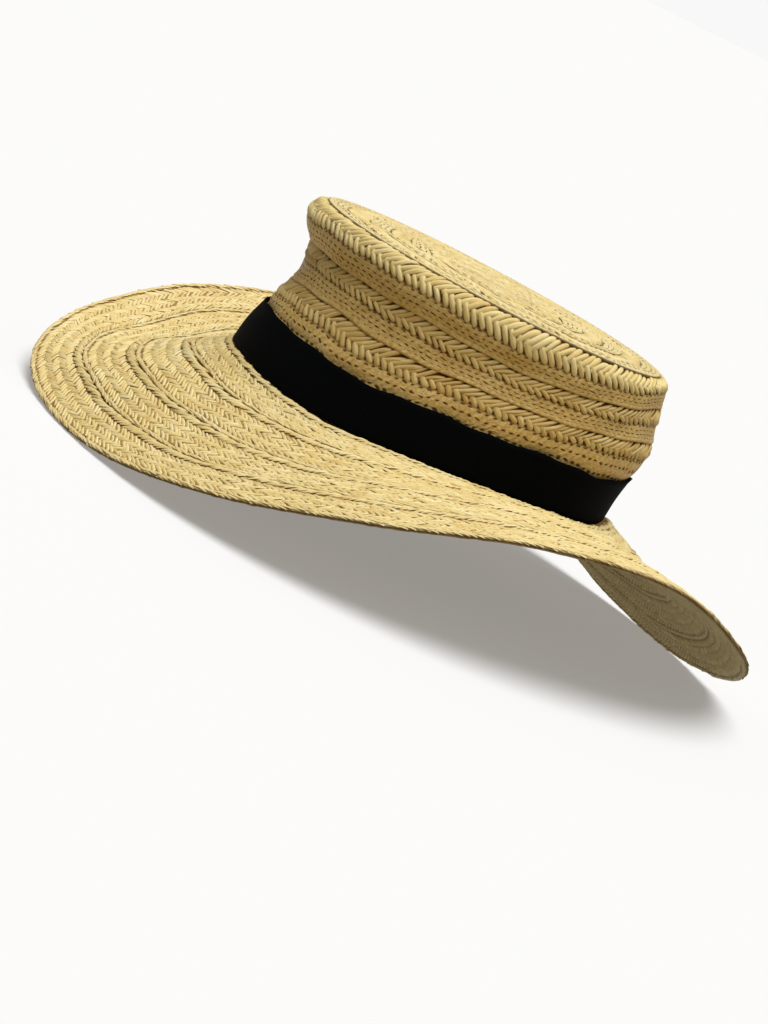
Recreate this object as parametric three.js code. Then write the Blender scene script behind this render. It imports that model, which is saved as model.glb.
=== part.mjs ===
// Wide-brimmed straw boater: an oval crown with a flat tip, a plain ribbon round its foot,
// and a soft brim that droops at the front and the back and lifts at the two sides.
// Millimetres, +Z up, the wearer faces -Y, and +X is the wearer's left.
// The hat lies on its brim, the right way up, as it rests by itself on a level surface.

import * as THREE from 'three';
import { mergeVertices } from 'three/addons/utils/BufferGeometryUtils.js';

// Foot of the crown, measured over the ribbon: half its length and half its width
const footHalfLength = 103;
const footHalfWidth = 88;

// The brim, from the foot of the crown out to its edge
const brimWidth = 100;
const brimUnderWall = 3.6;

// Straw braid: its thickness, and how far one lapped row stands above the next
const strawThickness = 2;
const lapStep = 0.9;
const lapLength = 1.2;
const rowSwell = 0.3;

// Ribbon
const ribbonThickness = 1;
const ribbonBottom = 1;
const ribbonTop = 24.5;

// Clearance between pieces that touch
const clearance = 0.3;

// The hat's lean as it rests, in degrees: nose down, and over to the wearer's left
const leanForward = -1.8;
const leanSideways = -0.5;

// Steps round the hat, and from the brim's foot to its edge
const stepsRound = 72;
const brimPathSteps = 40;

// How the brim hangs, one row for every 22.5 degrees from the front round by the wearer's left:
// how far its foot is lifted (mm), and its slope at the foot and at the edge (degrees below level)
const brimRows = [
  { side: 'front', footLift: -1.5, innerDroop: 35, outerDroop: 25 },
  { side: 'front, to the left', footLift: -1.5, innerDroop: 34, outerDroop: 39 },
  { side: 'front left', footLift: -4, innerDroop: 32, outerDroop: 35 },
  { side: 'left, to the front', footLift: -4.5, innerDroop: 23, outerDroop: 23 },
  { side: 'left', footLift: -0.5, innerDroop: 7, outerDroop: 13 },
  { side: 'left, to the back', footLift: 3, innerDroop: -7, outerDroop: 2 },
  { side: 'back left', footLift: 4.5, innerDroop: -10, outerDroop: 0 },
  { side: 'back, to the left', footLift: 3.5, innerDroop: 2, outerDroop: 11 },
  { side: 'back', footLift: 0, innerDroop: 16, outerDroop: 23 },
  { side: 'back, to the right', footLift: -2, innerDroop: 26, outerDroop: 30 },
  { side: 'back right', footLift: -3, innerDroop: 25, outerDroop: 27 },
  { side: 'right, to the back', footLift: -1.5, innerDroop: 15, outerDroop: 14 },
  { side: 'right', footLift: 0, innerDroop: 5, outerDroop: -2 },
  { side: 'right, to the front', footLift: 1.5, innerDroop: 3, outerDroop: -15 },
  { side: 'front right', footLift: 1.5, innerDroop: 20, outerDroop: -15 },
  { side: 'front, to the right', footLift: 0, innerDroop: 40, outerDroop: -5 },
];

// Where the rows of braid lap on the brim, as shares of its width
const brimSeams = [0.21, 0.48, 0.74];

// The crown's wall: how far it stands in from the foot line at each height (mm), at the front,
// the sides and the back. It is pinched under the rolled row that forms the rim.
const wallRows = [
  { height: 0, front: 1.5, side: 1.5, back: 4 },
  { height: 12, front: 3.4, side: 3.2, back: 3.6 },
  { height: 24, front: 6.8, side: 5.4, back: 1.5 },
  { height: 29, front: 7.4, side: 5.2, back: -0.5 },
  { height: 40, front: 11.4, side: 6.2, back: -1.4 },
  { height: 46, front: 12.8, side: 6.8, back: -1 },
  { height: 56, front: 12.6, side: 7.2, back: 0.6 },
  { height: 61.5, front: 11, side: 7, back: 1.6 },
  { height: 66, front: 6.6, side: 5.2, back: 3 },
  { height: 71, front: 3.8, side: 4.6, back: 3.8 },
  { height: 75.5, front: 4, side: 5, back: 4.6 },
  { height: 79.5, front: 6, side: 7, back: 6.8 },
  { height: 81.5, front: 9.5, side: 10.6, back: 10.8 },
];
const wallSeams = [61.5, 40];
const rimHeight = wallRows[wallRows.length - 1].height;

// The foot's lift dies away up the wall between these two heights
const liftHeldTo = 26;
const liftGoneBy = 66;

// The tip: height of its surface at each distance in from the rim's seam
const tipRows = [
  { inward: 0, height: 81.6 },
  { inward: 4, height: 82 },
  { inward: 12, height: 82.2 },
  { inward: 60, height: 82.2 },
];
const tipSeams = [22, 44];

// Values between the rows of a table: a smooth closed run round the brim, straight runs elsewhere
const brimForm = new THREE.CatmullRomCurve3(
  brimRows.map((row) => new THREE.Vector3(row.footLift, row.innerDroop, row.outerDroop)),
  true,
  'catmullrom',
  0.5,
);

function brimAt(angle) {
  const form = brimForm.getPoint(angle / (2 * Math.PI));
  return {
    footLift: form.x,
    innerDroop: THREE.MathUtils.degToRad(form.y),
    outerDroop: THREE.MathUtils.degToRad(form.z),
  };
}

function between(rows, along, name, at) {
  const next = rows.findIndex((row) => row[along] > at);
  if (next === -1) return rows[rows.length - 1][name];
  if (next === 0) return rows[0][name];
  const low = rows[next - 1];
  const high = rows[next];
  return THREE.MathUtils.mapLinear(at, low[along], high[along], low[name], high[name]);
}

// How far in the wall stands at a height and an angle round the hat
function wallInset(height, angle) {
  const end = Math.cos(angle) > 0 ? 'front' : 'back';
  const endShare = Math.cos(angle) ** 2;
  const atEnd = between(wallRows, 'height', end, height);
  const atSide = between(wallRows, 'height', 'side', height);
  return atEnd * endShare + atSide * (1 - endShare);
}

function liftAt(height, angle) {
  const share = 1 - THREE.MathUtils.smoothstep(height, liftHeldTo, liftGoneBy);
  return brimAt(angle).footLift * share;
}

// A section is a run of points { inward, height } at one angle. Its other face is the same run
// moved by a distance square to itself.
function offsetRun(run, distance) {
  return run.map((point, index) => {
    const before = run[Math.max(index - 1, 0)];
    const after = run[Math.min(index + 1, run.length - 1)];
    const length = Math.hypot(after.inward - before.inward, after.height - before.height);
    return {
      inward: point.inward + (distance * (after.height - before.height)) / length,
      height: point.height - (distance * (after.inward - before.inward)) / length,
    };
  });
}

// Places of a section's points in space. Crown sections keep to ovals inside the foot line,
// brim sections go straight out from it.
function crownPlace(point, angle) {
  return [
    (footHalfWidth - point.inward) * Math.sin(angle),
    -(footHalfLength - point.inward) * Math.cos(angle),
    point.height,
  ];
}

function brimPlace(point, angle) {
  const outward = new THREE.Vector2(Math.sin(angle) / footHalfWidth, -Math.cos(angle) / footHalfLength);
  outward.normalize();
  return [
    footHalfWidth * Math.sin(angle) - point.inward * outward.x,
    -footHalfLength * Math.cos(angle) - point.inward * outward.y,
    point.height,
  ];
}

// A turned body whose rings are then drawn to the hat's own oval and wave. sectionAt gives the
// closed section at an angle. pole marks a section that starts and ends on the middle axis.
function turnedBody(sectionAt, place, pole = false) {
  const round = sectionAt(0).map((point) => new THREE.Vector2(footHalfLength - point.inward, point.height));
  const profile = pole ? round : [...round, round[0].clone()];
  if (pole) {
    profile[0].x = 0;
    profile[profile.length - 1].x = 0;
  }
  const geometry = new THREE.LatheGeometry(profile, stepsRound);
  const position = geometry.getAttribute('position');
  for (let step = 0; step <= stepsRound; step += 1) {
    const angle = (2 * Math.PI * (step % stepsRound)) / stepsRound;
    const section = sectionAt(angle);
    profile.forEach((corner, index) => {
      const point = section[index % section.length];
      const [x, y, z] = corner.x === 0 ? [0, 0, point.height] : place(point, angle);
      position.setXYZ(step * profile.length + index, x, y, z);
    });
  }
  geometry.deleteAttribute('normal');
  geometry.deleteAttribute('uv');
  return mergeVertices(geometry, 1e-4);
}

// The brim's middle line from foot to edge: its slope changes evenly on the way
function brimPath(form) {
  const path = [{ share: 0, out: 0, height: form.footLift, slope: form.innerDroop }];
  for (let step = 1; step <= brimPathSteps; step += 1) {
    const share = step / brimPathSteps;
    const slope = THREE.MathUtils.lerp(form.innerDroop, form.outerDroop, share);
    const last = path[path.length - 1];
    path.push({
      share,
      out: last.out + (Math.cos(slope) * brimWidth) / brimPathSteps,
      height: last.height - (Math.sin(slope) * brimWidth) / brimPathSteps,
      slope,
    });
  }
  return path;
}

// The brim: a flat strip under the wall, then the slope. Each row of braid swells a little
// in its middle, and the next row starts with a small raised lap.
function brimSection(angle) {
  const form = brimAt(angle);
  const path = brimPath(form);
  const at = (share, down) => {
    const slope = between(path, 'share', 'slope', share);
    return {
      inward: -between(path, 'share', 'out', share) + down * Math.sin(slope),
      height: between(path, 'share', 'height', share) - down * Math.cos(slope),
    };
  };
  const top = [{ inward: brimUnderWall, height: form.footLift }, at(0, 0)];
  const bottom = [{ inward: brimUnderWall, height: form.footLift - strawThickness }, at(0, strawThickness)];
  const rowEnds = [0, ...brimSeams, 1];
  for (let row = 1; row < rowEnds.length; row += 1) {
    const rowMiddle = (rowEnds[row - 1] + rowEnds[row]) / 2;
    top.push(at(rowMiddle, -rowSwell), at(rowEnds[row], 0));
    bottom.push(at(rowMiddle, strawThickness), at(rowEnds[row], strawThickness));
    if (rowEnds[row] < 1) top.push(at(rowEnds[row] + lapLength / brimWidth, lapStep / 2));
  }
  return [...bottom, ...top.reverse()];
}

// The crown's wall, from its foot to the rim's seam. Each row overhangs the one below.
function wallSection(angle) {
  const laps = wallSeams.map((seam) => seam + lapLength);
  const heights = [...wallRows.map((row) => row.height), ...laps].sort((low, high) => low - high);
  const line = heights.map((height) => ({
    inward: wallInset(height, angle),
    height: height + liftAt(height, angle),
  }));
  line[0].height += clearance;
  const outer = line.map((point, index) => {
    const step = wallSeams.includes(heights[index]) ? lapStep : 0;
    return { inward: point.inward + step, height: point.height };
  });
  const inner = offsetRun(line, strawThickness).filter((point, index) => !laps.includes(heights[index]));
  inner[0].height = line[0].height;
  const rim = line[line.length - 1];
  inner[inner.length - 1] = { inward: rim.inward, height: rim.height - strawThickness };
  return [...outer, ...inner.reverse()];
}

// The tip: a very shallow dome with a flat middle, butted inside the rim's seam
function tipSection(angle) {
  const rim = wallInset(rimHeight, angle) + clearance;
  const laps = tipSeams.map((seam) => seam + lapLength);
  const stops = [...tipRows.map((row) => row.inward), ...tipSeams, ...laps].sort((near, far) => far - near);
  const under = [];
  const outer = [];
  for (const stop of stops) {
    const height = between(tipRows, 'inward', 'height', stop);
    under.push({ inward: rim + stop, height: height - strawThickness });
    outer.push({ inward: rim + stop, height: height - (laps.includes(stop) ? lapStep / 2 : 0) });
  }
  return [{ ...under[0] }, ...under, ...outer.reverse(), { ...outer[outer.length - 1] }];
}

// The ribbon: one even thickness round the foot of the wall
function ribbonSection(angle) {
  const heights = [ribbonBottom, ribbonTop / 2, ribbonTop];
  const face = (gap) => heights.map((height) => ({
    inward: wallInset(height, angle) - gap,
    height: height + liftAt(height, angle),
  }));
  return [...face(clearance + ribbonThickness), ...face(clearance).reverse()];
}

function strawMaterial(colour) {
  return new THREE.MeshStandardMaterial({ color: colour, roughness: 0.75, metalness: 0 });
}

function ribbonMaterial() {
  return new THREE.MeshStandardMaterial({ color: '#15151a', roughness: 0.85, metalness: 0 });
}

function namedMesh(name, geometry, material) {
  const mesh = new THREE.Mesh(geometry, material);
  mesh.name = name;
  return mesh;
}

// The crown's own axis leans a little when the hat rests on the two low spots of its brim
const leaning = new THREE.Group();
leaning.add(namedMesh('crown_tip', turnedBody(tipSection, crownPlace, true), strawMaterial('#e6d093')));
leaning.add(namedMesh('crown_side', turnedBody(wallSection, crownPlace), strawMaterial('#d9bf7e')));
leaning.add(namedMesh('brim', turnedBody(brimSection, brimPlace), strawMaterial('#e0c98a')));
leaning.add(namedMesh('ribbon_band', turnedBody(ribbonSection, crownPlace), ribbonMaterial()));
leaning.rotation.set(THREE.MathUtils.degToRad(leanForward), THREE.MathUtils.degToRad(leanSideways), 0);

// The origin is under the middle of the hat, on the surface it lies on
const hat = new THREE.Group();
hat.add(leaning);
hat.updateMatrixWorld(true);
const box = new THREE.Box3().setFromObject(hat, true);
const boxMiddle = box.getCenter(new THREE.Vector3());
hat.position.set(-boxMiddle.x, -boxMiddle.y, -box.min.z);
hat.updateMatrixWorld(true);

export default hat;
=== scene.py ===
import math

import bmesh
import bpy
import numpy as np
from mathutils import Euler, Matrix, Vector


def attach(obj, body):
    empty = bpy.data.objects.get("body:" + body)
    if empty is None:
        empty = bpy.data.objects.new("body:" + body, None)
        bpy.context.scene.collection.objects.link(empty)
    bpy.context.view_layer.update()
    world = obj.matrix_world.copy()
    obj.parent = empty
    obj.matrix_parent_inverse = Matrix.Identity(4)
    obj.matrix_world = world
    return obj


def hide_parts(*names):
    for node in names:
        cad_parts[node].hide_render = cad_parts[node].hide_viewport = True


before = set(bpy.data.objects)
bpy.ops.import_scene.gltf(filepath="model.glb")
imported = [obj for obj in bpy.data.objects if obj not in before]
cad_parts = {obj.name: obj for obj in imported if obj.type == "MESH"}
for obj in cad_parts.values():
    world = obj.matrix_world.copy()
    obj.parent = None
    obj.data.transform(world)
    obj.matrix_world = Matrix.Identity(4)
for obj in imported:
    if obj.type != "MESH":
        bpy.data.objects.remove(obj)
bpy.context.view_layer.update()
mm = 0.001
rng = np.random.default_rng(7)

# The hat's form, as in the CAD source, in mm in the crown's own frame: foot plane at 0, front at -Y,
# wearer's left at +X. Angles in degrees, round from the front by the left.
form = {
    "footHalfLength": 103,
    "footHalfWidth": 88,
    "brimWidth": 100,
    "strawThickness": 2,
    "seamGap": 0.3,  # between the tip and the rim of the wall
    "leanForward": -1.8,
    "leanSideways": -0.5,
    "place": (0.634, -2.378, 57.789),  # where the lean leaves the crown's origin
    "liftFades": (26, 66),  # the foot's waves die out between these heights
    "rimFades": 30,  # and the rim's outline turns into a plain oval this far in
    "backSwell": {"at": 183, "reach": 19, "height": 6.0, "fades": 50},
    "rowRise": {"at": 42, "reach": 24, "run": 44, "deep": 14, "height": 3.4},
    "tailEnd": {"at": 191, "reach": 30, "height": 1.6, "from": 88, "over": 12},
}
brimRows = [  # every 22.5 degrees: foot lift, slope at foot, slope at edge
    (-1.5, 35, 25), (-1.5, 34, 39), (-4, 32, 35), (-4.5, 23, 23),
    (-0.5, 7, 13), (3, -7, 2), (4.5, -10, 0), (3.5, 2, 11),
    (0, 16, 23), (-2, 26, 30), (-3, 25, 27), (-1.5, 15, 14),
    (0, 5, -2), (1.5, 3, -15), (1.5, 20, -15), (0, 40, -5),
]
wallRows = [  # height, then how far in from the foot line at front, sides and back
    (0, 1.5, 1.5, 4), (12, 3.4, 3.2, 3.6), (24, 6.8, 5.4, 1.5), (29, 7.4, 5.2, -0.5),
    (40, 11.4, 6.2, -1.4), (46, 12.8, 6.8, -1), (56, 12.6, 7.2, 0.6), (61.5, 11, 7, 1.6),
    (66, 6.6, 5.2, 3), (71, 3.8, 4.6, 3.8), (75.5, 4, 5, 4.6), (79.5, 6, 7, 6.8), (81.5, 9.5, 10.6, 10.8),
]
rimIn = wallRows[-1][1:]
rowDrift = [  # angle, then how far the wall's rows lie above their even places at the runs below
    (0, 0, 0, 0, 0), (20, -1.7, -0.8, 0.7, 0.4), (50, -1.7, -0.8, 1.2, 0.8), (75, -2.5, -1.3, 2.8, 2.2),
    (97, -4.6, -1.9, 3, 2.6), (113, -4.6, -1.9, 3, 2.7), (128, -3, 0.8, 5, 4), (144, -0.8, 4.2, 7.6, 6.2),
    (158, 2.2, 6.2, 9, 7), (172, 3.2, 7, 9.5, 7), (200, 1.5, 4, 5, 4), (240, 0, 0.6, 1, 0.6),
    (300, 0, 0, 0, 0), (340, 0, 0, 0, 0), (360, 0, 0, 0, 0),
]
driftRuns = (0, 11, 22.7, 44.5, 55, 61)  # mm down from the rim; the first and last don't drift
tipRows = [(0, 81.7), (4, 82.1), (12, 82.2), (77, 82.2)]  # distance in from the rim's seam, height
tipRun = 77.0
handLaid = {  # how the rows wander along the face and off it: size, waves in a turn, start, slant
    "along": [(0.35, 7, 0, 0.11), (0.3, 16, 2.1, 0.05)],
    "off": [(0.35, 5, 0, 0.09), (0.25, 13, 1.0, 0.21)],
    "calm": 8,  # dying out this near to the rims
}


def catmullRom(points, perSpan, closed=False):
    points = np.array(points, float)
    count = len(points)
    spans = count if closed else count - 1
    out = []
    for i in range(spans):
        pick = [i - 1, i, i + 1, i + 2]
        before, here, there, after = [
            points[k % count] if closed else points[min(max(k, 0), count - 1)] for k in pick]
        square = 2 * before - 5 * here + 4 * there - after
        cube = 3 * here - before - 3 * there + after
        for t in np.linspace(0, 1, perSpan, endpoint=False):
            out.append(0.5 * (2 * here + (there - before) * t + square * t * t + cube * t ** 3))
    out.append(points[0] if closed else points[-1])
    return np.array(out)


def smoothShare(x, low, high):
    t = np.clip((x - low) / (high - low), 0, 1)
    return t * t * (3 - 2 * t)


def waves(parts, turn, run=0.0):
    return sum(size * np.sin(turn * count + start + run * slant) for size, count, start, slant in parts)


brimDense = catmullRom(brimRows, 40, closed=True)
brimTurns = np.linspace(0, 2 * np.pi, len(brimDense))
driftDense = catmullRom(rowDrift, 8)
wallDense = catmullRom(wallRows, 12)
wallHeights = wallDense[:, 0]
wallSteps = np.hypot(np.diff(wallHeights), np.diff(wallDense[:, 2]))
wallRun = np.concatenate([[0], np.cumsum(wallSteps)])  # mm up the side of the wall
wallLength = wallRun[-1]


def brimAt(angle):
    turn = np.mod(angle, 2 * np.pi)
    return [np.interp(turn, brimTurns, brimDense[:, k]) for k in range(3)]


def backSwell(angle):
    # the foot of the brim swells up at the back and takes the ribbon up with it
    swell = form["backSwell"]
    apart = np.mod(angle - math.radians(swell["at"]) + np.pi, 2 * np.pi) - np.pi
    return swell["height"] * np.exp(-(apart / math.radians(swell["reach"])) ** 2)


def tailEnd(angle, run):
    # the last row grows a little towards the end of the braid and stops there
    tail = form["tailEnd"]
    before = np.mod(math.radians(tail["at"]) - angle, 2 * np.pi)
    grown = tail["height"] * np.clip(1 - before / math.radians(tail["reach"]), 0, 1)
    return grown * np.clip((run - tail["from"]) / tail["over"], 0, 1)


def rowWander(angle, run):
    # how far a place on the wall lies above where even rows would put it
    turn = np.mod(angle, 2 * np.pi)
    rise = form["rowRise"]
    near = np.exp(-((turn - math.radians(rise["at"])) / math.radians(rise["reach"])) ** 2)
    up = rise["height"] * near * np.exp(-((run - rise["run"]) / rise["deep"]) ** 2)
    for k in range(1, len(driftRuns) - 1):
        share = np.interp(run, driftRuns, np.eye(len(driftRuns))[k])
        up = up + share * np.interp(np.degrees(turn), driftDense[:, 0], driftDense[:, k])
    return up


# Each form takes: angle round, run outward from the middle of the hat (mm), distance off the face (mm)
def brimForm(angle, run, off):
    lift, inner, outer = brimAt(angle)
    lift = lift + backSwell(angle) * (1 - smoothShare(run, 0, form["backSwell"]["fades"]))
    run = run + tailEnd(angle, run)
    inner, outer = np.radians(inner), np.radians(outer)
    bent = np.clip(run / form["brimWidth"], -0.1, 1.05)  # a little past both edges
    slope = inner + (outer - inner) * bent
    middle = (inner + slope) / 2
    half = (slope - inner) / 2
    straight = np.abs(half) < 1e-6
    chord = np.where(straight, 1, np.sin(half) / np.where(straight, 1, half))
    out = run * np.cos(middle) * chord + off * np.sin(slope)
    height = lift - run * np.sin(middle) * chord + off * np.cos(slope)
    halfWidth, halfLength = form["footHalfWidth"], form["footHalfLength"]
    sideways, forward = np.sin(angle) / halfWidth, -np.cos(angle) / halfLength
    length = np.hypot(sideways, forward)
    x = halfWidth * np.sin(angle) + out * sideways / length
    y = -halfLength * np.cos(angle) + out * forward / length
    return np.stack([x, y, height], -1)


def crownOval(angle, inward, height):
    halfWidth, halfLength = form["footHalfWidth"], form["footHalfLength"]
    x, y = (halfWidth - inward) * np.sin(angle), -(halfLength - inward) * np.cos(angle)
    return np.stack([x, y, height], -1)


def wallForm(angle, run, off):
    up = wallLength - run + rowWander(angle, run)
    ends = np.cos(angle) ** 2
    front = np.cos(angle) > 0

    def at(u):
        height, atFront, atSide, atBack = [np.interp(u, wallRun, wallDense[:, k]) for k in range(4)]
        return height, np.where(front, atFront, atBack) * ends + atSide * (1 - ends)

    height, inward = at(up)
    step = 1.0  # mm up and down, to find the wall's slope
    mid = np.clip(up, step, wallLength - step)
    high, highIn = at(mid + step)
    low, lowIn = at(mid - step)
    climb, closing = high - low, highIn - lowIn
    length = np.hypot(climb, closing)
    lift = (brimAt(angle)[0] + backSwell(angle)) * (1 - smoothShare(height, *form["liftFades"]))
    return crownOval(angle, inward - off * climb / length, height + off * closing / length + lift)


def tipForm(angle, run, off):
    atFront, atSide, atBack = rimIn
    ends = np.cos(angle) ** 2
    rim = np.where(np.cos(angle) > 0, atFront, atBack) * ends + atSide * (1 - ends)
    inward = tipRun - run
    height = np.interp(inward, [r[0] for r in tipRows], [r[1] for r in tipRows])
    edge = np.clip(1 - inward / form["rimFades"], 0, 1)
    return crownOval(angle, (rim - atSide) * edge + atSide + form["seamGap"] + inward, height + off)


def turnTable(shape, length, levels=24, steps=720):
    # for each ring of a form, the angle at each share of the way round, so that the braid's pitch is even
    angles = np.linspace(0, 2 * np.pi, steps + 1)
    table = np.zeros((levels, steps + 1))
    for k, run in enumerate(np.linspace(0, length, levels)):
        run = max(run, 0.5)  # the middle of the tip is a point, with no way round
        ring = shape(angles, np.full_like(angles, run), np.zeros_like(angles))
        along = np.concatenate([[0], np.cumsum(np.linalg.norm(np.diff(ring, axis=0), axis=1))])
        table[k] = np.interp(np.linspace(0, along[-1], steps + 1), along, angles)
    return table


lean = Euler((math.radians(form["leanForward"]), math.radians(form["leanSideways"]), 0), "XYZ").to_matrix()


def leaned(point):
    # from the crown's own frame in mm to the hat's in metres
    return (point @ np.array(lean).T + np.array(form["place"])) * mm


def onHat(surface, share, run, off, face=1):
    # share of a turn, run outward, distance off the face -> metres in the hat's frame
    table, length = surface["table"], surface["length"]
    levels, steps = table.shape
    level = np.clip(run / length, 0, 1) * (levels - 1)
    k = np.minimum(level.astype(int), levels - 2)
    part = level - k
    turn = np.floor(share)
    across = (share - turn) * (steps - 1)
    j = np.minimum(across.astype(int), steps - 2)
    rest = across - j
    low = table[k, j] * (1 - rest) + table[k, j + 1] * rest
    high = table[k + 1, j] * (1 - rest) + table[k + 1, j + 1] * rest
    angle = low * (1 - part) + high * part + turn * 2 * np.pi
    calm = np.clip(np.minimum(run, length - run) / handLaid["calm"], 0, 1)
    runs = run + waves(handLaid["along"], np.mod(share, 1) * 2 * np.pi, run) * calm
    swell = waves(handLaid["off"], angle, run) * calm
    offs = off if face > 0 else -form["strawThickness"] - off
    return leaned(surface["shape"](angle, runs, offs + swell))


surfaces = {
    "tip": {"shape": tipForm, "length": tipRun},
    "wall": {"shape": wallForm, "length": wallLength},
    "brim": {"shape": brimForm, "length": float(form["brimWidth"])},
}
for surface in surfaces.values():
    surface["table"] = turnTable(surface["shape"], surface["length"])
tip, wall, brim = surfaces["tip"], surfaces["wall"], surfaces["brim"]
print("form ready, wall", round(wallLength, 1), "mm up its side")


def newPiece(name, mesh):
    piece = bpy.data.objects.new(name, mesh)
    bpy.context.scene.collection.objects.link(piece)
    return piece


def meshPoints(mesh):
    points = np.zeros(len(mesh.vertices) * 3)
    mesh.vertices.foreach_get("co", points)
    return points.reshape(-1, 3)


def setPoints(mesh, points):
    mesh.vertices.foreach_set("co", np.ascontiguousarray(points, np.float32).ravel())
    mesh.update()


def setAttribute(mesh, name, values):
    layer = mesh.attributes.get(name) or mesh.attributes.new(name, "FLOAT", "POINT")
    layer.data.foreach_set("value", np.ascontiguousarray(values, np.float32))


def setUvs(mesh, uvs):
    # uvs holds one pair for each point
    loops = np.zeros(len(mesh.loops), int)
    mesh.loops.foreach_get("vertex_index", loops)
    mesh.uv_layers["braid"].data.foreach_set("uv", uvs[loops].astype(np.float32).ravel())


def flatGrid(name, steps, rows):
    # a flat grid, with each point's share along it and across it
    bm = bmesh.new()
    bm.loops.layers.uv.new("braid")
    bmesh.ops.create_grid(bm, x_segments=steps, y_segments=rows, size=0.5)
    mesh = bpy.data.meshes.new(name)
    bm.to_mesh(mesh)
    bm.free()
    points = meshPoints(mesh)
    return mesh, points[:, 0] + 0.5, points[:, 1] + 0.5


def ringLength(surface, run):
    angles = np.linspace(0, 2 * np.pi, 361)
    ring = surface["shape"](angles, np.full_like(angles, run), np.zeros_like(angles))
    return np.linalg.norm(np.diff(ring, axis=0), axis=1).sum()


sliverForm = {
    "along": 6, "across": 4,  # faces, where a sliver doesn't say
    "pathSteps": 8, "lookAhead": 0.05,
    "narrows": 5, "rounds": 2.2,  # powers: higher keeps the width and the arch longer
    "endShade": 0.1,
}


def addSliver(bm, uvLayer, sliver, width, lift):
    # one sliver: a strip arched across, its path in mm along the row, share across it, mm above it
    look = sliverForm["lookAhead"]
    along, across = sliver.get("along", sliverForm["along"]), sliver.get("across", sliverForm["across"])
    made = bmesh.ops.create_grid(bm, x_segments=along, y_segments=across, size=0.5)["verts"]
    bm.verts.index_update()
    made.sort(key=lambda v: v.index)
    line = catmullRom([(x, y * width, z + lift) for x, y, z in sliver["path"]], sliverForm["pathSteps"])
    marks = np.linspace(0, 1, len(line))
    lengthMm = np.linalg.norm(np.diff(line, axis=0), axis=1).sum()
    flat = {v: (v.co.x + 0.5, v.co.y * 2) for v in made}
    for face in {f for v in made for f in v.link_faces}:
        for loop in face.loops:
            share, side = flat[loop.vert]
            loop[uvLayer].uv = (share * lengthMm / 10, side * sliver["width"] / 20)  # in cm
    for v, (share, side) in flat.items():
        x, y, z = [np.interp(share, marks, line[:, k]) for k in range(3)]
        nextX, nextY = [np.interp(min(share + look, 1), marks, line[:, k]) for k in range(2)]
        lastX, lastY = [np.interp(max(share - look, 0), marks, line[:, k]) for k in range(2)]
        step = math.hypot(nextX - lastX, nextY - lastY)
        narrow = 1 - sliver["taper"] * abs(2 * share - 1) ** sliverForm["narrows"]
        reach = side * sliver["width"] / 2 * narrow
        rise = z + sliver["arch"] * (0.5 - abs(side) ** sliverForm["rounds"])
        v.co = (x - (nextY - lastY) / step * reach, y + (nextX - lastX) / step * reach, rise)
    # how near each point is to the sliver's edge or end, the mask for the painted shade where slivers meet
    # and dive under each other
    return [max(abs(flat[v][1]), abs(2 * flat[v][0] - 1) - sliverForm["endShade"]) for v in made]


def squeezed(across, amount):
    # draws the inner half of a row together
    return across * (amount + (1 - amount) * 2 * np.clip(across - 0.5, 0, 0.5))


uneven = {"turn": 0.05, "bend": 0.012, "bendsFrom": 4, "scale": 0.05, "shift": 0.12, "off": 0.09}


def madeUneven(points, sizes, jitter):
    # every sliver differs a little from its neighbours, and gets a tone of its own
    def drawn(name, *shape):
        return rng.normal(0, uneven[name], shape) * jitter

    count = len(points)
    tones = np.zeros(points.shape[:2])
    first = 0
    for size in sizes:
        part = points[:, first:first + size]
        centre = part.mean(1, keepdims=True)
        turn = drawn("turn", count)
        cosine, sine = np.cos(turn)[:, None], np.sin(turn)[:, None]
        local = part - centre
        x = local[..., 0] * cosine - local[..., 1] * sine
        y = local[..., 0] * sine + local[..., 1] * cosine
        y = y + drawn("bend", count, 1) * (x * x - uneven["bendsFrom"])
        scale = 1 + drawn("scale", count, 1)
        part[..., 0] = centre[..., 0] + x * scale + drawn("shift", count, 1)
        part[..., 1] = centre[..., 1] + y * scale + drawn("shift", count, 1)
        part[..., 2] += drawn("off", count, 1)
        tones[:, first:first + size] = rng.random((count, 1))
        first += size
    return tones


def rowSpans(starts):
    # where each row starts and how wide it is
    return [(low, high - low) for low, high in zip(starts, starts[1:])]


def plaitRow(surface, braid, start, width, face=1, lift=0.0, jitter=1.0, squeeze=1.0):
    # one pitch of the plait is made once, arrayed round the row, and laid on the hat
    pitch = braid["pitch"]
    bm = bmesh.new()
    uvLayer = bm.loops.layers.uv.new("braid")
    edgeShades = [addSliver(bm, uvLayer, sliver, width, lift) for sliver in braid["slivers"]]
    mesh = bpy.data.meshes.new("onePitch")
    bm.to_mesh(mesh)
    bm.free()
    tile = newPiece("onePitch", mesh)
    count = round(ringLength(surface, start + width / 2) / pitch)
    array = tile.modifiers.new("round", "ARRAY")
    array.count = count
    array.use_relative_offset = False
    array.use_constant_offset = True
    array.constant_offset_displace = (pitch, 0, 0)
    made = bpy.data.meshes.new_from_object(tile.evaluated_get(bpy.context.evaluated_depsgraph_get()))
    bpy.data.objects.remove(tile)
    points = meshPoints(made).reshape(count, -1, 3)
    tones = madeUneven(points, [len(e) for e in edgeShades], jitter)
    points = points.reshape(-1, 3)
    share = points[:, 0] / (count * pitch) + rng.random() / count
    runs = start + width * squeezed(points[:, 1] / width, squeeze)
    setPoints(made, onHat(surface, share, runs, points[:, 2], face))
    setAttribute(made, "tone", tones.ravel())
    # painted shade at each sliver's edges and ends, for its material
    setAttribute(made, "edge", np.tile(np.concatenate(edgeShades), count))
    if face > 0:
        made.flip_normals()
    return made


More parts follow.
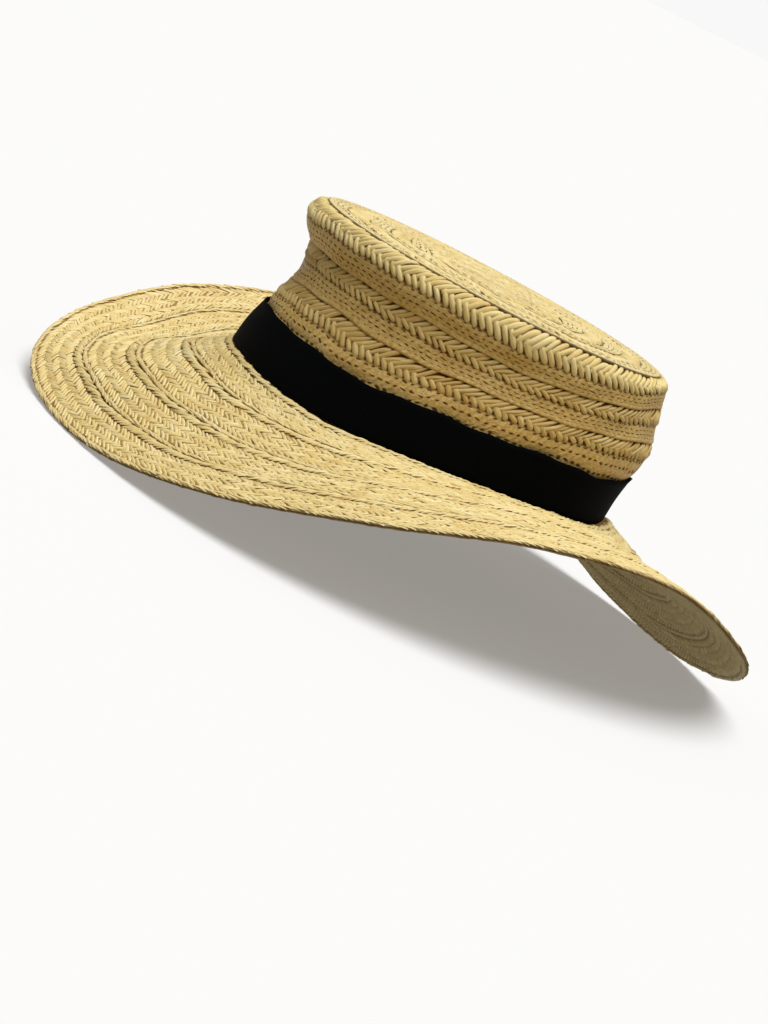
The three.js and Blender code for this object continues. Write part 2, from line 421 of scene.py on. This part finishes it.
def bedRow(surface, profile, around, start, width, pitch=4.0, face=1, squeeze=1.0):
    # profile: (share of the row's width, mm off the face, how much of it is painted in shade: deep brown
    # between and under the slivers and under the seams)
    mesh, share, rise = flatGrid("bedRow", around, len(profile) - 1)
    row = np.rint(rise * (len(profile) - 1)).astype(int)
    across, off, bedShade = np.array(profile, float)[row].T
    count = round(ringLength(surface, max(start + width / 2, 1)) / pitch)
    setUvs(mesh, np.stack([share * count, across], -1))
    setAttribute(mesh, "bedShade", bedShade)
    setPoints(mesh, onHat(surface, share, start + width * squeezed(across, squeeze), off, face))
    return mesh


def joinedPiece(name, meshes, materials, weld=0.0):
    # with two materials, the first mesh takes the first and the rest take the second
    bm = bmesh.new()
    firstFaces = 0
    for k, mesh in enumerate(meshes):
        bm.from_mesh(mesh)
        bpy.data.meshes.remove(mesh)
        firstFaces = len(bm.faces) if k == 0 else firstFaces
    if weld:
        bmesh.ops.remove_doubles(bm, verts=bm.verts, dist=weld)
        bmesh.ops.recalc_face_normals(bm, faces=bm.faces)
    for k, face in enumerate(bm.faces):
        face.smooth = True
        face.material_index = 1 if len(materials) > 1 and k >= firstFaces else 0
    joined = bpy.data.meshes.new(name)
    bm.to_mesh(joined)
    bm.free()
    for material in materials:
        joined.materials.append(material)
    return newPiece(name, joined)


def linear(code):
    # an sRGB hex colour as linear values
    parts = [int(code[i:i + 2], 16) / 255 for i in (1, 3, 5)]
    return tuple(c / 12.92 if c <= 0.04045 else ((c + 0.055) / 1.055) ** 2.4 for c in parts) + (1.0,)


def add(tree, kind, inputs=None, **settings):
    made = tree.nodes.new(kind)
    for name, value in settings.items():
        setattr(made, name, value)
    for name, value in (inputs or {}).items():
        socket = made.inputs[name]
        if isinstance(value, bpy.types.NodeSocket):
            tree.links.new(value, socket)
        else:
            socket.default_value = value
    return made


def maths(tree, operation, *values, **settings):
    return add(tree, "ShaderNodeMath", dict(enumerate(values)), operation=operation, **settings).outputs[0]


def weighted(tree, base, *parts):
    # base and each value times its weight, added up
    for value, weight in parts:
        base = maths(tree, "MULTIPLY_ADD", value, weight, base)
    return base


def noise(tree, at, scale, detail=2.0):
    return add(tree, "ShaderNodeTexNoise", {"Vector": at, "Scale": scale, "Detail": detail}).outputs["Fac"]


def scaledUv(tree, uv, scale):
    return add(tree, "ShaderNodeMapping", {"Vector": uv, "Scale": scale}).outputs[0]


def attribute(tree, name):
    return add(tree, "ShaderNodeAttribute", attribute_name=name).outputs["Fac"]


def vectorMaths(tree, operation, *values, output=0):
    made = add(tree, "ShaderNodeVectorMath", dict(enumerate(values)), operation=operation)
    return made.outputs[output]


def blend(tree, share, first, second):
    return add(tree, "ShaderNodeMix", {"Factor": share, 6: first, 7: second}, data_type="RGBA").outputs[2]


def ramp(tree, value, stops):
    # stops: place and hex colour, or place and linear colour
    made = add(tree, "ShaderNodeValToRGB", {"Fac": value})
    elements = made.color_ramp.elements
    while len(elements) < len(stops):
        elements.new(0.5)
    for element, (at, colour) in zip(elements, stops):
        element.position = at
        element.color = linear(colour) if isinstance(colour, str) else colour
    return made.outputs["Color"]


def newMaterial(name):
    material = bpy.data.materials.new(name)
    material.use_nodes = True
    material.node_tree.nodes.clear()
    return material, material.node_tree


def startMaterial(name):
    material, tree = newMaterial(name)
    uv = add(tree, "ShaderNodeUVMap", uv_map="braid").outputs["UV"]
    place = add(tree, "ShaderNodeTexCoord").outputs["Object"]
    return material, tree, uv, place


def endMaterial(tree, skin, height, colour, rough):
    bump = add(tree, "ShaderNodeBump", {
        "Height": height, "Strength": skin["bump"], "Distance": skin["bumpDepth"],
    })
    surface = add(tree, "ShaderNodeBsdfPrincipled", {
        "Base Color": colour, "Roughness": rough, "Normal": bump.outputs[0],
        "IOR": skin["ior"], "Specular IOR Level": skin["specular"],
    })
    add(tree, "ShaderNodeOutputMaterial", {"Surface": surface.outputs[0]})


sliverSkin = {
    "toneShift": (37.0, 11.0, 5.0), "fibres": (2.0, 60.0, 1.0), "patches": 45.0,
    "base": -0.2, "toneWeight": 0.3, "patchWeight": 0.5, "fibreWeight": 0.9,
    "edgeShadeFray": 0.25, "edgeShadeTo": 1.15, "rough": 0.42, "roughVaries": 0.2,
    "bump": 0.85, "bumpDepth": 0.0004, "ior": 1.45, "specular": 0.4,
}


# Natural straw, split, flattened and plaited damp: satin skin, fine fibres along each sliver,
# and every sliver its own shade from cream to tan; painted shade, a deep brown, along each sliver's edges
# and ends where it meets and dives under its neighbours
def plaitedStraw(name, look):
    skin = sliverSkin
    material, tree, uv, place = startMaterial(name)
    tone = attribute(tree, "tone")
    moved = vectorMaths(tree, "ADD", uv, vectorMaths(tree, "MULTIPLY", tone, skin["toneShift"]))
    fibres = noise(tree, scaledUv(tree, moved, skin["fibres"]), scale=1.0)
    patches = noise(tree, place, skin["patches"])
    shade = weighted(tree, skin["base"], (tone, skin["toneWeight"]), (patches, skin["patchWeight"]),
                     (fibres, skin["fibreWeight"]))
    # painted shade: the colour turns to the edge colour towards each sliver's edges and ends, frayed by the
    # fibres
    frayedEdgeShade = weighted(tree, attribute(tree, "edge"), (fibres, skin["edgeShadeFray"]))
    edge = add(tree, "ShaderNodeMapRange", {
        "Value": frayedEdgeShade, "From Min": look["edgeShadeFrom"], "From Max": skin["edgeShadeTo"],
        "To Max": look["edgeShadeDepth"],
    }).outputs[0]
    colour = blend(tree, edge, ramp(tree, shade, look["shades"]), linear(look["edge"]))
    rough = weighted(tree, skin["rough"], (fibres, skin["roughVaries"]))
    endMaterial(tree, skin, fibres, colour, rough)
    return material


flatSkin = {
    "warp": 220.0, "patches": 60.0, "streaks": (1.0, 34.0, 1.0), "streakScale": 1.6, "grain": 700.0,
    "base": -0.7, "streakWeight": 0.8, "patchWeight": 0.6, "grainWeight": 1.1,
    "holeWarpAlong": 0.9, "holeWarpAcross": 0.08, "holeFrom": 1.1, "holeTo": 0.6, "holeDeep": -1.5,
    "puckerSlant": 3.2, "puckerWarp": 1.6, "puckerHigh": 0.45, "rough": 0.52, "roughInBed": 0.3,
    "bump": 0.8, "bumpDepth": 0.0004, "ior": 1.45, "specular": 0.35,
}


def holeLine(tree, skin, along, across, warp, line):
    # a row of small long holes, one to a pitch
    along = maths(tree, "ADD", along, line["offset"])
    along = weighted(tree, along, (warp, skin["holeWarpAlong"]))
    along = maths(tree, "SUBTRACT", maths(tree, "FRACT", along), 0.5)
    along = maths(tree, "MULTIPLY", along, 1 / line["length"])
    across = weighted(tree, across, (warp, skin["holeWarpAcross"]))
    across = maths(tree, "SUBTRACT", across, line["at"] + skin["holeWarpAcross"] / 2)
    across = maths(tree, "MULTIPLY", across, 1 / line["width"])
    spot = add(tree, "ShaderNodeCombineXYZ", {0: along, 1: across}).outputs[0]
    reach = vectorMaths(tree, "LENGTH", spot, output="Value")
    return add(tree, "ShaderNodeMapRange", {
        "Value": reach, "From Min": skin["holeFrom"], "From Max": skin["holeTo"],
    }).outputs[0]


# The same straw where the braid lies flat: pale, close and nearly smooth, puckered aslant, with lines
# of small holes, and painted shade, a deep brown, down between the slivers and under the seams
def flatBraid(name, look):
    skin = flatSkin
    material, tree, uv, place = startMaterial(name)
    along, across = add(tree, "ShaderNodeSeparateXYZ", {0: uv}).outputs[:2]
    warp = noise(tree, place, skin["warp"], detail=1.0)
    patches = noise(tree, place, skin["patches"], detail=3.0)
    lines = [holeLine(tree, skin, along, across, warp, line) for line in look["holeLines"]]
    holes = lines[0]
    for hole in lines[1:]:
        holes = maths(tree, "MAXIMUM", holes, hole)
    # the holes and the painted shade between and under the slivers share one deep brown
    dark = maths(tree, "MAXIMUM", holes, attribute(tree, "bedShade"), use_clamp=True)
    streaks = noise(tree, scaledUv(tree, uv, skin["streaks"]), skin["streakScale"])
    grain = noise(tree, place, skin["grain"])
    shade = weighted(tree, skin["base"], (streaks, skin["streakWeight"]), (patches, skin["patchWeight"]),
                     (grain, skin["grainWeight"]))
    colour = blend(tree, dark, ramp(tree, shade, look["shades"]), linear(look["gap"]))
    slant = weighted(tree, along, (across, skin["puckerSlant"]), (warp, skin["puckerWarp"]))
    pucker = maths(tree, "SINE", maths(tree, "MULTIPLY", slant, 2 * math.pi))
    height = weighted(tree, streaks, (holes, skin["holeDeep"]), (pucker, skin["puckerHigh"]))
    rough = weighted(tree, skin["rough"], (dark, skin["roughInBed"]))
    endMaterial(tree, skin, height, colour, rough)
    return material


# edge: the colour of the painted shade along each sliver's edges and ends
sliverStraw = plaitedStraw("plaitedStrawSlivers", {
    "shades": [(0.2, "#cdab60"), (0.45, "#e4ca85"), (0.7, "#f1dc9c"), (0.95, "#f8eab6")],
    "edge": "#8a6430", "edgeShadeFrom": 0.82, "edgeShadeDepth": 0.8,
})
# A lighter, warmer copy of the sliver straw for the ridge row: painted light, for the rolled ridge turned up
# to the light from above; its edge colour is painted shade
ridgeStrawPaintedLight = plaitedStraw("plaitedRidgeStrawPaintedLight", {
    "shades": [(0.2, "#d9b566"), (0.45, "#ecd086"), (0.7, "#f6e09c"), (0.95, "#fcebb0")],
    "edge": "#7a5523", "edgeShadeFrom": 0.8, "edgeShadeDepth": 0.9,
})
# A darker, warmer copy of the sliver straw for the wall below the ridge: painted shade, for the wall
# standing out of the light; its edge colour is painted shade
wallStrawPaintedShade = plaitedStraw("plaitedWallStrawPaintedShade", {
    "shades": [(0.25, "#c8a055"), (0.5, "#dbb970"), (0.75, "#e8cb84"), (1.0, "#f0da9a")],
    "edge": "#61401a", "edgeShadeFrom": 0.8, "edgeShadeDepth": 0.95,
})
crownHoles = [  # at: share across the row; offset and length: shares of a pitch
    {"at": 0.52, "offset": 0.0, "length": 0.3, "width": 0.02},
    {"at": 0.645, "offset": 0.45, "length": 0.32, "width": 0.017},
    {"at": 0.77, "offset": 0.1, "length": 0.34, "width": 0.022},
    {"at": 0.87, "offset": 0.6, "length": 0.28, "width": 0.011},
]
# gap: the colour of the holes and of the painted shade between the slivers and under the seams
tipFlat = flatBraid("flatTipBraid", {
    "shades": [(0.15, "#cdb06c"), (0.45, "#e5cf92"), (0.8, "#f3e3ac")], "gap": "#4a3112",
    "holeLines": crownHoles,
})
# A darker, warmer copy of the flat braid for the wall: painted shade, for the wall standing out of the
# light; gap is the colour of the holes and of the painted shade between the slivers and under the seams
wallFlatPaintedShade = flatBraid("flatWallBraidPaintedShade", {
    "shades": [(0.15, "#bd9448"), (0.45, "#d5b268"), (0.8, "#e8cb86")], "gap": "#6a471b",
    "holeLines": crownHoles,
})
# gap: the colour of the holes and of the painted shade between the slivers and under the seams
brimStraw = flatBraid("flatBrimBraid", {
    "shades": [(0.15, "#cbae6a"), (0.45, "#dfc788"), (0.8, "#eedba0")], "gap": "#86612c",
    "holeLines": [{"at": 0.2, "offset": 0.0, "length": 0.3, "width": 0.008}],
})
print("straw ready")

innerProfile = [  # the plain inside of the crown, with a little painted shade at its seams and along its middle
    (0, 0.1, 0.2), (0.1, 0, 0), (0.3, 0, 0), (0.5, -0.1, 0.3), (0.7, 0, 0), (0.9, 0, 0), (1.0, 0.1, 0.2),
]
weldReach = 2e-5  # metres
stripWidth = 1.0  # mm; only the braid's pattern on a closing strip depends on it

wallBraid = {
    "pitch": 4.2,
    "around": 480,  # steps of the bed round the hat
    "jitter": 1.6,
    "seamHeights": (61.5, 40, 18.5),
    "squeeze": (1.0, 1.0, 0.85, 1.0),  # the third row is narrower over the ribbon
    "pressedBelow": 25.5,  # under the ribbon the braid is pressed flat
    # the third column paints shade: deep brown under the slivers and a shadow line under each row's
    # overhanging edge
    "profile": [
        (0.0, -1.2, 1), (0.03, -1.1, 1), (0.07, -0.6, 1), (0.14, -0.4, 1), (0.3, -0.35, 1), (0.41, -0.35, 1),
        (0.455, -0.3, 1), (0.485, 0.0, 0.6), (0.515, 0.22, 0.1), (0.6, 0.3, 0), (0.66, 0.22, 0),
        (0.72, 0.32, 0), (0.79, 0.24, 0), (0.86, 0.4, 0), (0.93, 0.55, 0), (0.975, 0.75, 0),
        (1.012, 0.35, 0.4), (1.0, -1.2, 1),
    ],
    "hiddenProfile": [(0, -1.2, 1), (0.05, -0.2, 1), (0.5, 0, 0), (1.0, 0.0, 0)],  # the row under the ribbon
    "footStrip": [(0, 0.0, 0), (0, -1.0, 1), (0, -2.1, 0)],
    "rimStrip": [(0, -1.2, 1), (0, -1.6, 1), (0, -2.1, 1)],
    "slivers": [
        # long ones, from the middle line back up under the row above
        {"path": [(-1.4, 0.35, -0.45), (0.2, 0.31, 0.2), (3.4, 0.21, 0.45), (6.8, 0.1, 0.3),
                  (9.8, 0.0, -0.7)],
         "width": 2.7, "arch": 0.85, "along": 8, "taper": 0.1},
        # short ones, lying over their ends and diving into the dotted line
        {"path": [(-1.2, 0.235, -0.4), (-0.1, 0.285, 0.4), (1.5, 0.36, 0.6), (3.0, 0.43, 0.4),
                  (4.2, 0.485, -0.45)],
         "width": 2.95, "arch": 0.95, "taper": 0.2},
    ],
}


def runAt(height):
    return wallLength - np.interp(height, wallHeights, wallRun)


def pressed(profile, start, width):
    limit = runAt(wallBraid["pressedBelow"])
    return [(across, min(off, 0.0) if start + across * width > limit else off, bedShade)
            for across, off, bedShade in profile]


starts = [0.0] + [runAt(height) for height in wallBraid["seamHeights"]] + [wallLength]
print("wall rows start at", [round(v, 1) for v in starts])
around, pitch = wallBraid["around"], wallBraid["pitch"]
meshes, plaits = [], []
for k, (start, width) in enumerate(rowSpans(starts)):
    squeeze = wallBraid["squeeze"][k]
    shown = k < 3  # the last row lies under the ribbon
    profile = pressed(wallBraid["profile" if shown else "hiddenProfile"], start, width)
    meshes.append(bedRow(wall, profile, around, start, width, pitch, squeeze=squeeze))
    if shown:
        plaits.append(plaitRow(wall, wallBraid, start, width, jitter=wallBraid["jitter"], squeeze=squeeze))
    meshes.append(bedRow(wall, innerProfile, around, start, width, pitch, face=-1))
# the foot and the rim of the wall are closed by a narrow strip each
meshes.append(bedRow(wall, wallBraid["footStrip"], around, wallLength, stripWidth))
meshes.append(bedRow(wall, wallBraid["rimStrip"], around, 0.0, stripWidth))
wallBed = joinedPiece("wall_braid", meshes, [wallFlatPaintedShade], weldReach)
wallPlait = joinedPiece("wall_plait", plaits, [ridgeStrawPaintedLight, wallStrawPaintedShade])
print("wall:", len(wallBed.data.polygons), "and", len(wallPlait.data.polygons), "faces")

tipBraid = {
    "pitch": 4.2,
    "around": 360,
    "jitter": 1.6,
    "starts": (0.0, 11.0, 33.0, 55.0, 77.0),
    # the third column paints shade: deep brown under the slivers and a shadow line under each row's edge
    "profile": [
        (0.0, -1.0, 1), (0.03, -0.9, 1), (0.08, -0.7, 1), (0.28, -0.6, 1), (0.45, -0.6, 1), (0.485, -0.5, 1),
        (0.515, -0.3, 0.7), (0.545, 0.0, 0.1), (0.6, 0.1, 0), (0.66, 0.0, 0), (0.72, 0.15, 0),
        (0.79, 0.05, 0), (0.88, 0.3, 0), (0.97, 0.55, 0), (1.005, 0.25, 0.7), (1.0, -1.0, 1),
    ],
    "middleProfile": [
        (0, 0.2, 0), (0.3, 0.25, 0), (0.5, 0.1, 0), (0.7, 0.3, 0), (0.9, 0.35, 0), (0.995, 0.3, 0),
        (1.0, -1.0, 1),
    ],
    "rimStrip": [(0, -1.0, 1), (0, -1.5, 1), (0, -2.1, 0.2)],
    "slivers": [
        {"path": [(-1.4, 0.35, -0.7), (0.2, 0.31, -0.1), (3.6, 0.2, 0.1), (7.2, 0.08, -0.2),
                  (10.0, -0.01, -0.9)],
         "width": 2.2, "arch": 1.1, "taper": 0.25},
        {"path": [(-1.2, 0.235, -0.5), (-0.1, 0.285, 0.1), (1.5, 0.36, 0.3), (3.0, 0.43, 0.1),
                  (4.2, 0.49, -0.7)],
         "width": 2.8, "arch": 1.1, "taper": 0.15},
    ],
}
around, pitch = tipBraid["around"], tipBraid["pitch"]
meshes, plaits = [], []
for k, (start, width) in enumerate(rowSpans(tipBraid["starts"])):
    profile = tipBraid["profile" if k > 0 else "middleProfile"]
    meshes.append(bedRow(tip, profile, around, start, width, pitch))
    if k > 0:
        plaits.append(plaitRow(tip, tipBraid, start, width, jitter=tipBraid["jitter"]))
    meshes.append(bedRow(tip, innerProfile, around, start, width, pitch, face=-1))
meshes.append(bedRow(tip, tipBraid["rimStrip"], around, tipRun, stripWidth))
tipBed = joinedPiece("tip_braid", meshes, [tipFlat], weldReach)
tipPlait = joinedPiece("tip_plait", plaits, [sliverStraw])
print("tip:", len(tipBed.data.polygons), "and", len(tipPlait.data.polygons), "faces")


chevron = {
    "x": (-1.2, 0.2, 3.8, 5.6), "z": (-0.55, 0.05, 0.12, -0.55),
    "pastLow": (-0.02, 0.012), "pastHigh": (-0.035, 0.02),  # shares of the row's width
    "sliver": {"width": 1.75, "arch": 0.7, "along": 4, "across": 3, "taper": 0.2},
}


def columnSliver(low, high, rising):
    # one sliver of a column of chevrons, low and high being shares across the row
    ends = [low + past for past in chevron["pastLow"]] + [high + past for past in chevron["pastHigh"]]
    ends = [low + high - end for end in ends] if rising else ends
    return dict(chevron["sliver"], path=list(zip(chevron["x"], ends, chevron["z"])))


ropeTaper = 0.35
brimBraid = {
    "pitch": 3.2,
    "around": 600,
    "starts": (0.0, 21.0, 48.0, 74.0, 100.0),
    "jitter": 1.7,
    "underLift": -0.35,
    "underProfile": {"lowest": -0.5, "highest": 0.1, "bedShade": 0.5},
    # the third column paints shade: deep brown under the chevrons and ropes and a shadow line along each
    # seam
    "profile": [
        (0.0, -1.1, 1), (0.02, -0.9, 1), (0.05, -0.1, 0.7), (0.1, 0.2, 0.3), (0.15, 0.1, 0.4),
        (0.185, -0.4, 0.8), (0.215, -0.4, 0.8), (0.24, -0.3, 0.8), (0.6, -0.25, 0.8), (0.88, -0.25, 0.8),
        (0.9, -0.5, 1), (0.92, -0.1, 0.7), (0.95, 0.4, 0.2), (0.985, 0.45, 0), (1.005, 0.1, 0.7),
        (1.0, -1.1, 1),
    ],
    # the first row runs in under the crown's foot, and the last one ends in a rounded edge
    "footTop": [(-0.17, -0.5, 1), (-0.02, -0.5, 1)],
    "footUnder": [(-0.17, -0.5, 1), (-0.02, -0.4, 1)],
    "footStrip": [(0, -0.5, 1), (0, -1.5, 1)],
    "edgeTop": [(0.985, 0.15, 0), (1.0, -0.1, 0), (1.006, -0.5, 0)],
    "edgeUnder": [(0.985, 0.0, 0), (1.0, -0.1, 0.2), (1.006, -0.4, 0.5)],
    "edgeStrip": [(0.006, -0.5, 0.1), (0.004, -0.9, 0.9), (0.003, -1.2, 1), (0.006, -1.6, 0.5)],
    "columns": [(0.215, 0.345, False), (0.345, 0.48, True), (0.48, 0.615, False), (0.615, 0.75, True),
                (0.75, 0.885, False)],
    "ropes": [
        # the twisted-looking strip at the seam, then the row's own edge turned over
        {"path": [(-3.6, 0.175, -0.1), (-1.6, 0.15, 0.55), (2.4, 0.085, 0.75), (6.4, 0.025, -0.3)],
         "width": 1.6, "arch": 0.6, "along": 5, "across": 3, "taper": ropeTaper},
        {"path": [(-3.0, 0.925, -0.1), (-1.0, 0.935, 0.55), (2.6, 0.965, 0.6), (5.0, 0.985, 0.2)],
         "width": 1.3, "arch": 0.4, "along": 4, "across": 2, "taper": ropeTaper},
    ],
    "edgeSlivers": [
        {"path": [(-2.2, 0.965, 0.2), (0.0, 0.975, 0.28), (2.4, 0.99, 0.05), (4.4, 0.997, -0.7)],
         "width": 1.4, "arch": 0.4, "along": 5, "across": 3, "taper": ropeTaper},
    ],
}
brimBraid["slivers"] = brimBraid["ropes"] + [columnSliver(*column) for column in brimBraid["columns"]]
starts, pressing = brimBraid["starts"], brimBraid["underProfile"]
around, pitch = brimBraid["around"], brimBraid["pitch"]
spans = rowSpans(starts)
meshes, topPlaits, underPlaits = [], [], []
for k, (start, width) in enumerate(spans):
    profile = list(brimBraid["profile"])
    under = [(across, min(max(off, pressing["lowest"]), pressing["highest"]), bedShade * pressing["bedShade"])
             for across, off, bedShade in profile]
    if k == 0:
        profile[:2], under[:2] = brimBraid["footTop"], brimBraid["footUnder"]
    if k == len(spans) - 1:
        profile[-3:], under[-3:] = brimBraid["edgeTop"], brimBraid["edgeUnder"]
    meshes.append(bedRow(brim, profile, around, start, width, pitch))
    meshes.append(bedRow(brim, under, around, start, width, pitch, face=-1))
    topPlaits.append(plaitRow(brim, brimBraid, start, width, jitter=brimBraid["jitter"]))
    underPlaits.append(plaitRow(brim, brimBraid, start, width, face=-1, lift=brimBraid["underLift"]))
lastStart, lastWidth = spans[-1]
edgePlait = plaitRow(brim, dict(brimBraid, slivers=brimBraid["edgeSlivers"]), lastStart, lastWidth)
footRun = brimBraid["footTop"][0][0] * starts[1]
meshes.append(bedRow(brim, brimBraid["edgeStrip"], around, starts[-1], lastWidth))
meshes.append(bedRow(brim, brimBraid["footStrip"], around, footRun, lastWidth))
brimBed = joinedPiece("brim_braid", meshes, [brimStraw], weldReach)
brimTop = joinedPiece("brim_top_plait", topPlaits, [sliverStraw])
brimUnder = joinedPiece("brim_under_plait", underPlaits, [sliverStraw])
brimEdge = joinedPiece("brim_edge_plait", [edgePlait], [sliverStraw])
print("brim:", [len(p.data.polygons) for p in (brimBed, brimTop, brimUnder, brimEdge)], "faces")

ribbonForm = {
    "bottom": 0.3, "top": 24.5, "thickness": 1.0, "gap": 0.3, "steps": 480, "rows": 10,
    "edgeWaves": [(0.35, 9, 0, 0), (0.25, 23, 1, 0)],
    "belly": 0.25,
    "lap": {"from": 0.745, "to": 0.775, "step": 0.004, "height": 0.6},  # shares of a turn, on the far side
    "cloth": 0.0009,  # metres
    "uv": (56.0, 2.35),  # cm round and up
    "measuredUp": 12,  # where its length is taken
}
ribbonSkin = {
    "ribs": 3.2, "ribWander": 0.6, "lint": 900.0, "soft": 25.0, "weight": 0.5, "rough": 0.85,
    "shades": [(0.3, "#000102"), (0.55, "#020304"), (0.8, "#050709")],
    "bump": 0.25, "bumpDepth": 0.0002, "ior": 1.5, "specular": 0.05,
}


# Plain woven ribbon, dense and matte: fine ribs across it, near black with a breath of navy
def wovenRibbon(name):
    skin = ribbonSkin
    material, tree, uv, place = startMaterial(name)
    ribs = add(tree, "ShaderNodeTexWave", {
        "Vector": uv, "Scale": skin["ribs"], "Distortion": skin["ribWander"], "Detail": 1.0,
    }, bands_direction="X").outputs["Fac"]
    lint = noise(tree, place, skin["lint"])
    soft = noise(tree, place, skin["soft"])
    shade = weighted(tree, 0.0, (lint, skin["weight"]), (soft, skin["weight"]))
    endMaterial(tree, skin, ribs, ramp(tree, shade, skin["shades"]), skin["rough"])
    return material


def ribbonPoints(share, up, off):
    angle = np.interp(share, np.linspace(0, 1, wall["table"].shape[1]), wall["table"][-1])
    return leaned(wallForm(angle, runAt(up), off))


ribbonMesh, share, rise = flatGrid("ribbon", ribbonForm["steps"], ribbonForm["rows"])
edgeWave = waves(ribbonForm["edgeWaves"], share * 2 * np.pi)
up = ribbonForm["bottom"] + rise * (ribbonForm["top"] - ribbonForm["bottom"] + edgeWave)
lap = ribbonForm["lap"]  # the end of the ribbon, laid over its start
lapped = smoothShare(share, lap["from"], lap["from"] + lap["step"])
lapped = lapped * (1 - smoothShare(share, lap["to"], lap["to"] + lap["step"]))
off = ribbonForm["gap"] + ribbonForm["thickness"] + ribbonForm["belly"] * np.sin(rise * np.pi)
setUvs(ribbonMesh, np.stack([share, rise], -1) * ribbonForm["uv"])
setPoints(ribbonMesh, ribbonPoints(share, up, off + lap["height"] * lapped))
bm = bmesh.new()
bm.from_mesh(ribbonMesh)
bmesh.ops.remove_doubles(bm, verts=bm.verts, dist=weldReach)
for face in bm.faces:
    face.smooth = True
bmesh.ops.solidify(bm, geom=bm.faces[:], thickness=-ribbonForm["cloth"])
bmesh.ops.recalc_face_normals(bm, faces=bm.faces)
bm.to_mesh(ribbonMesh)
bm.free()
ribbon = newPiece("ribbon", ribbonMesh)
ribbon.data.materials.append(wovenRibbon("wovenBlackRibbon"))
print("ribbon:", len(ribbon.data.polygons), "faces")

for piece, node, slot in (
    (wallBed, "crown_side", "straw_side"), (wallPlait, "crown_side", "straw_side"),
    (tipBed, "crown_tip", "straw_tip"), (tipPlait, "crown_tip", "straw_tip"),
    (brimBed, "brim", "straw_brim"), (brimTop, "brim", "straw_brim"),
    (brimUnder, "brim", "straw_brim"), (brimEdge, "brim", "straw_brim"),
    (ribbon, "ribbon_band", "ribbon"),
):
    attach(piece, "root")
    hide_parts(node)
ribbonRound = ringLength(wall, wallLength - ribbonForm["measuredUp"]) * mm
print("pieces placed")

view = {
    "azimuth": 0.334, "elevation": 10.505, "roll": 26.379,  # degrees, the camera turned about its own axis
    "distance": 1.6, "aim": (0.01533, -0.0001, 0.01662), "lens": 113.6, "clip": 200,
}
azimuth, elevation, roll = [math.radians(view[name]) for name in ("azimuth", "elevation", "roll")]
level = math.cos(elevation)
towards = Vector((level * math.cos(azimuth), level * math.sin(azimuth), math.sin(elevation)))
turned = towards.to_track_quat("Z", "Y").to_matrix().to_4x4() @ Matrix.Rotation(roll, 4, "Z")
camera = bpy.data.objects.new("camera", bpy.data.cameras.new("camera"))
bpy.context.scene.collection.objects.link(camera)
camera.matrix_world = Matrix.Translation(Vector(view["aim"]) + towards * view["distance"]) @ turned
camera.data.lens = view["lens"]
camera.data.clip_end = view["clip"]
bpy.context.scene.camera = camera

light = {
    "towards": (0.18, 0.06, 0.98), "strength": 3.18, "spread": 50, "colour": (1.0, 0.99, 0.965),
    "tint": (1.0, 0.93, 0.82),
    "bands": [(0.3, 0.27), (0.5, 0.035), (0.8, 0.28)],  # light from below, level and above: place, strength
    "seen": 0.939,  # the pale backdrop, for the camera alone
}
sun = bpy.data.objects.new("softbox", bpy.data.lights.new("softbox", "SUN"))
sun.data.energy = light["strength"]
sun.data.angle = math.radians(light["spread"])
sun.data.color = light["colour"]
sun.rotation_euler = Vector(light["towards"]).to_track_quat("Z", "Y").to_euler()
bpy.context.scene.collection.objects.link(sun)

world = bpy.data.worlds.new("studio")
world.use_nodes = True
bpy.context.scene.world = world
tree = world.node_tree
tree.nodes.clear()
aim = add(tree, "ShaderNodeTexCoord").outputs["Generated"]
height = add(tree, "ShaderNodeSeparateXYZ", {0: aim}).outputs[2]
share = maths(tree, "MULTIPLY_ADD", height, 0.5, 0.5)  # 0 straight down, 1 straight up
bands = ramp(tree, share, [
    (at, tuple(strength * part for part in light["tint"]) + (1.0,)) for at, strength in light["bands"]
])
fill = add(tree, "ShaderNodeBackground", {"Color": bands, "Strength": 1.0}).outputs[0]
backdrop = (light["seen"],) * 3 + (1.0,)
seen = add(tree, "ShaderNodeBackground", {"Color": backdrop, "Strength": 1.0}).outputs[0]
direct = add(tree, "ShaderNodeLightPath").outputs["Is Camera Ray"]
mixed = add(tree, "ShaderNodeMixShader", {0: direct, 1: fill, 2: seen}).outputs[0]
add(tree, "ShaderNodeOutputWorld", {"Surface": mixed})

floorLook = {"radius": 40, "steps": 96, "colour": (0.58, 0.588, 0.606, 1.0), "rough": 0.9, "glow": 0.25}
bm = bmesh.new()
bmesh.ops.create_circle(bm, cap_ends=True, segments=floorLook["steps"], radius=floorLook["radius"])
floorMesh = bpy.data.meshes.new("floor")
bm.to_mesh(floorMesh)
bm.free()
floor = newPiece("floor", floorMesh)
floorMaterial, tree = newMaterial("paleFloor")
surface = add(tree, "ShaderNodeBsdfPrincipled", {
    "Base Color": floorLook["colour"], "Roughness": floorLook["rough"], "Specular IOR Level": 0.0,
    "Emission Color": (1.0, 1.0, 1.0, 1.0), "Emission Strength": floorLook["glow"],
})
add(tree, "ShaderNodeOutputMaterial", {"Surface": surface.outputs[0]})
floor.data.materials.append(floorMaterial)
floor.visible_diffuse = False  # the pale floor gives no light back, as over a dark studio pit
bpy.context.scene.view_settings.view_transform = "Standard"
print("camera, light and floor ready")
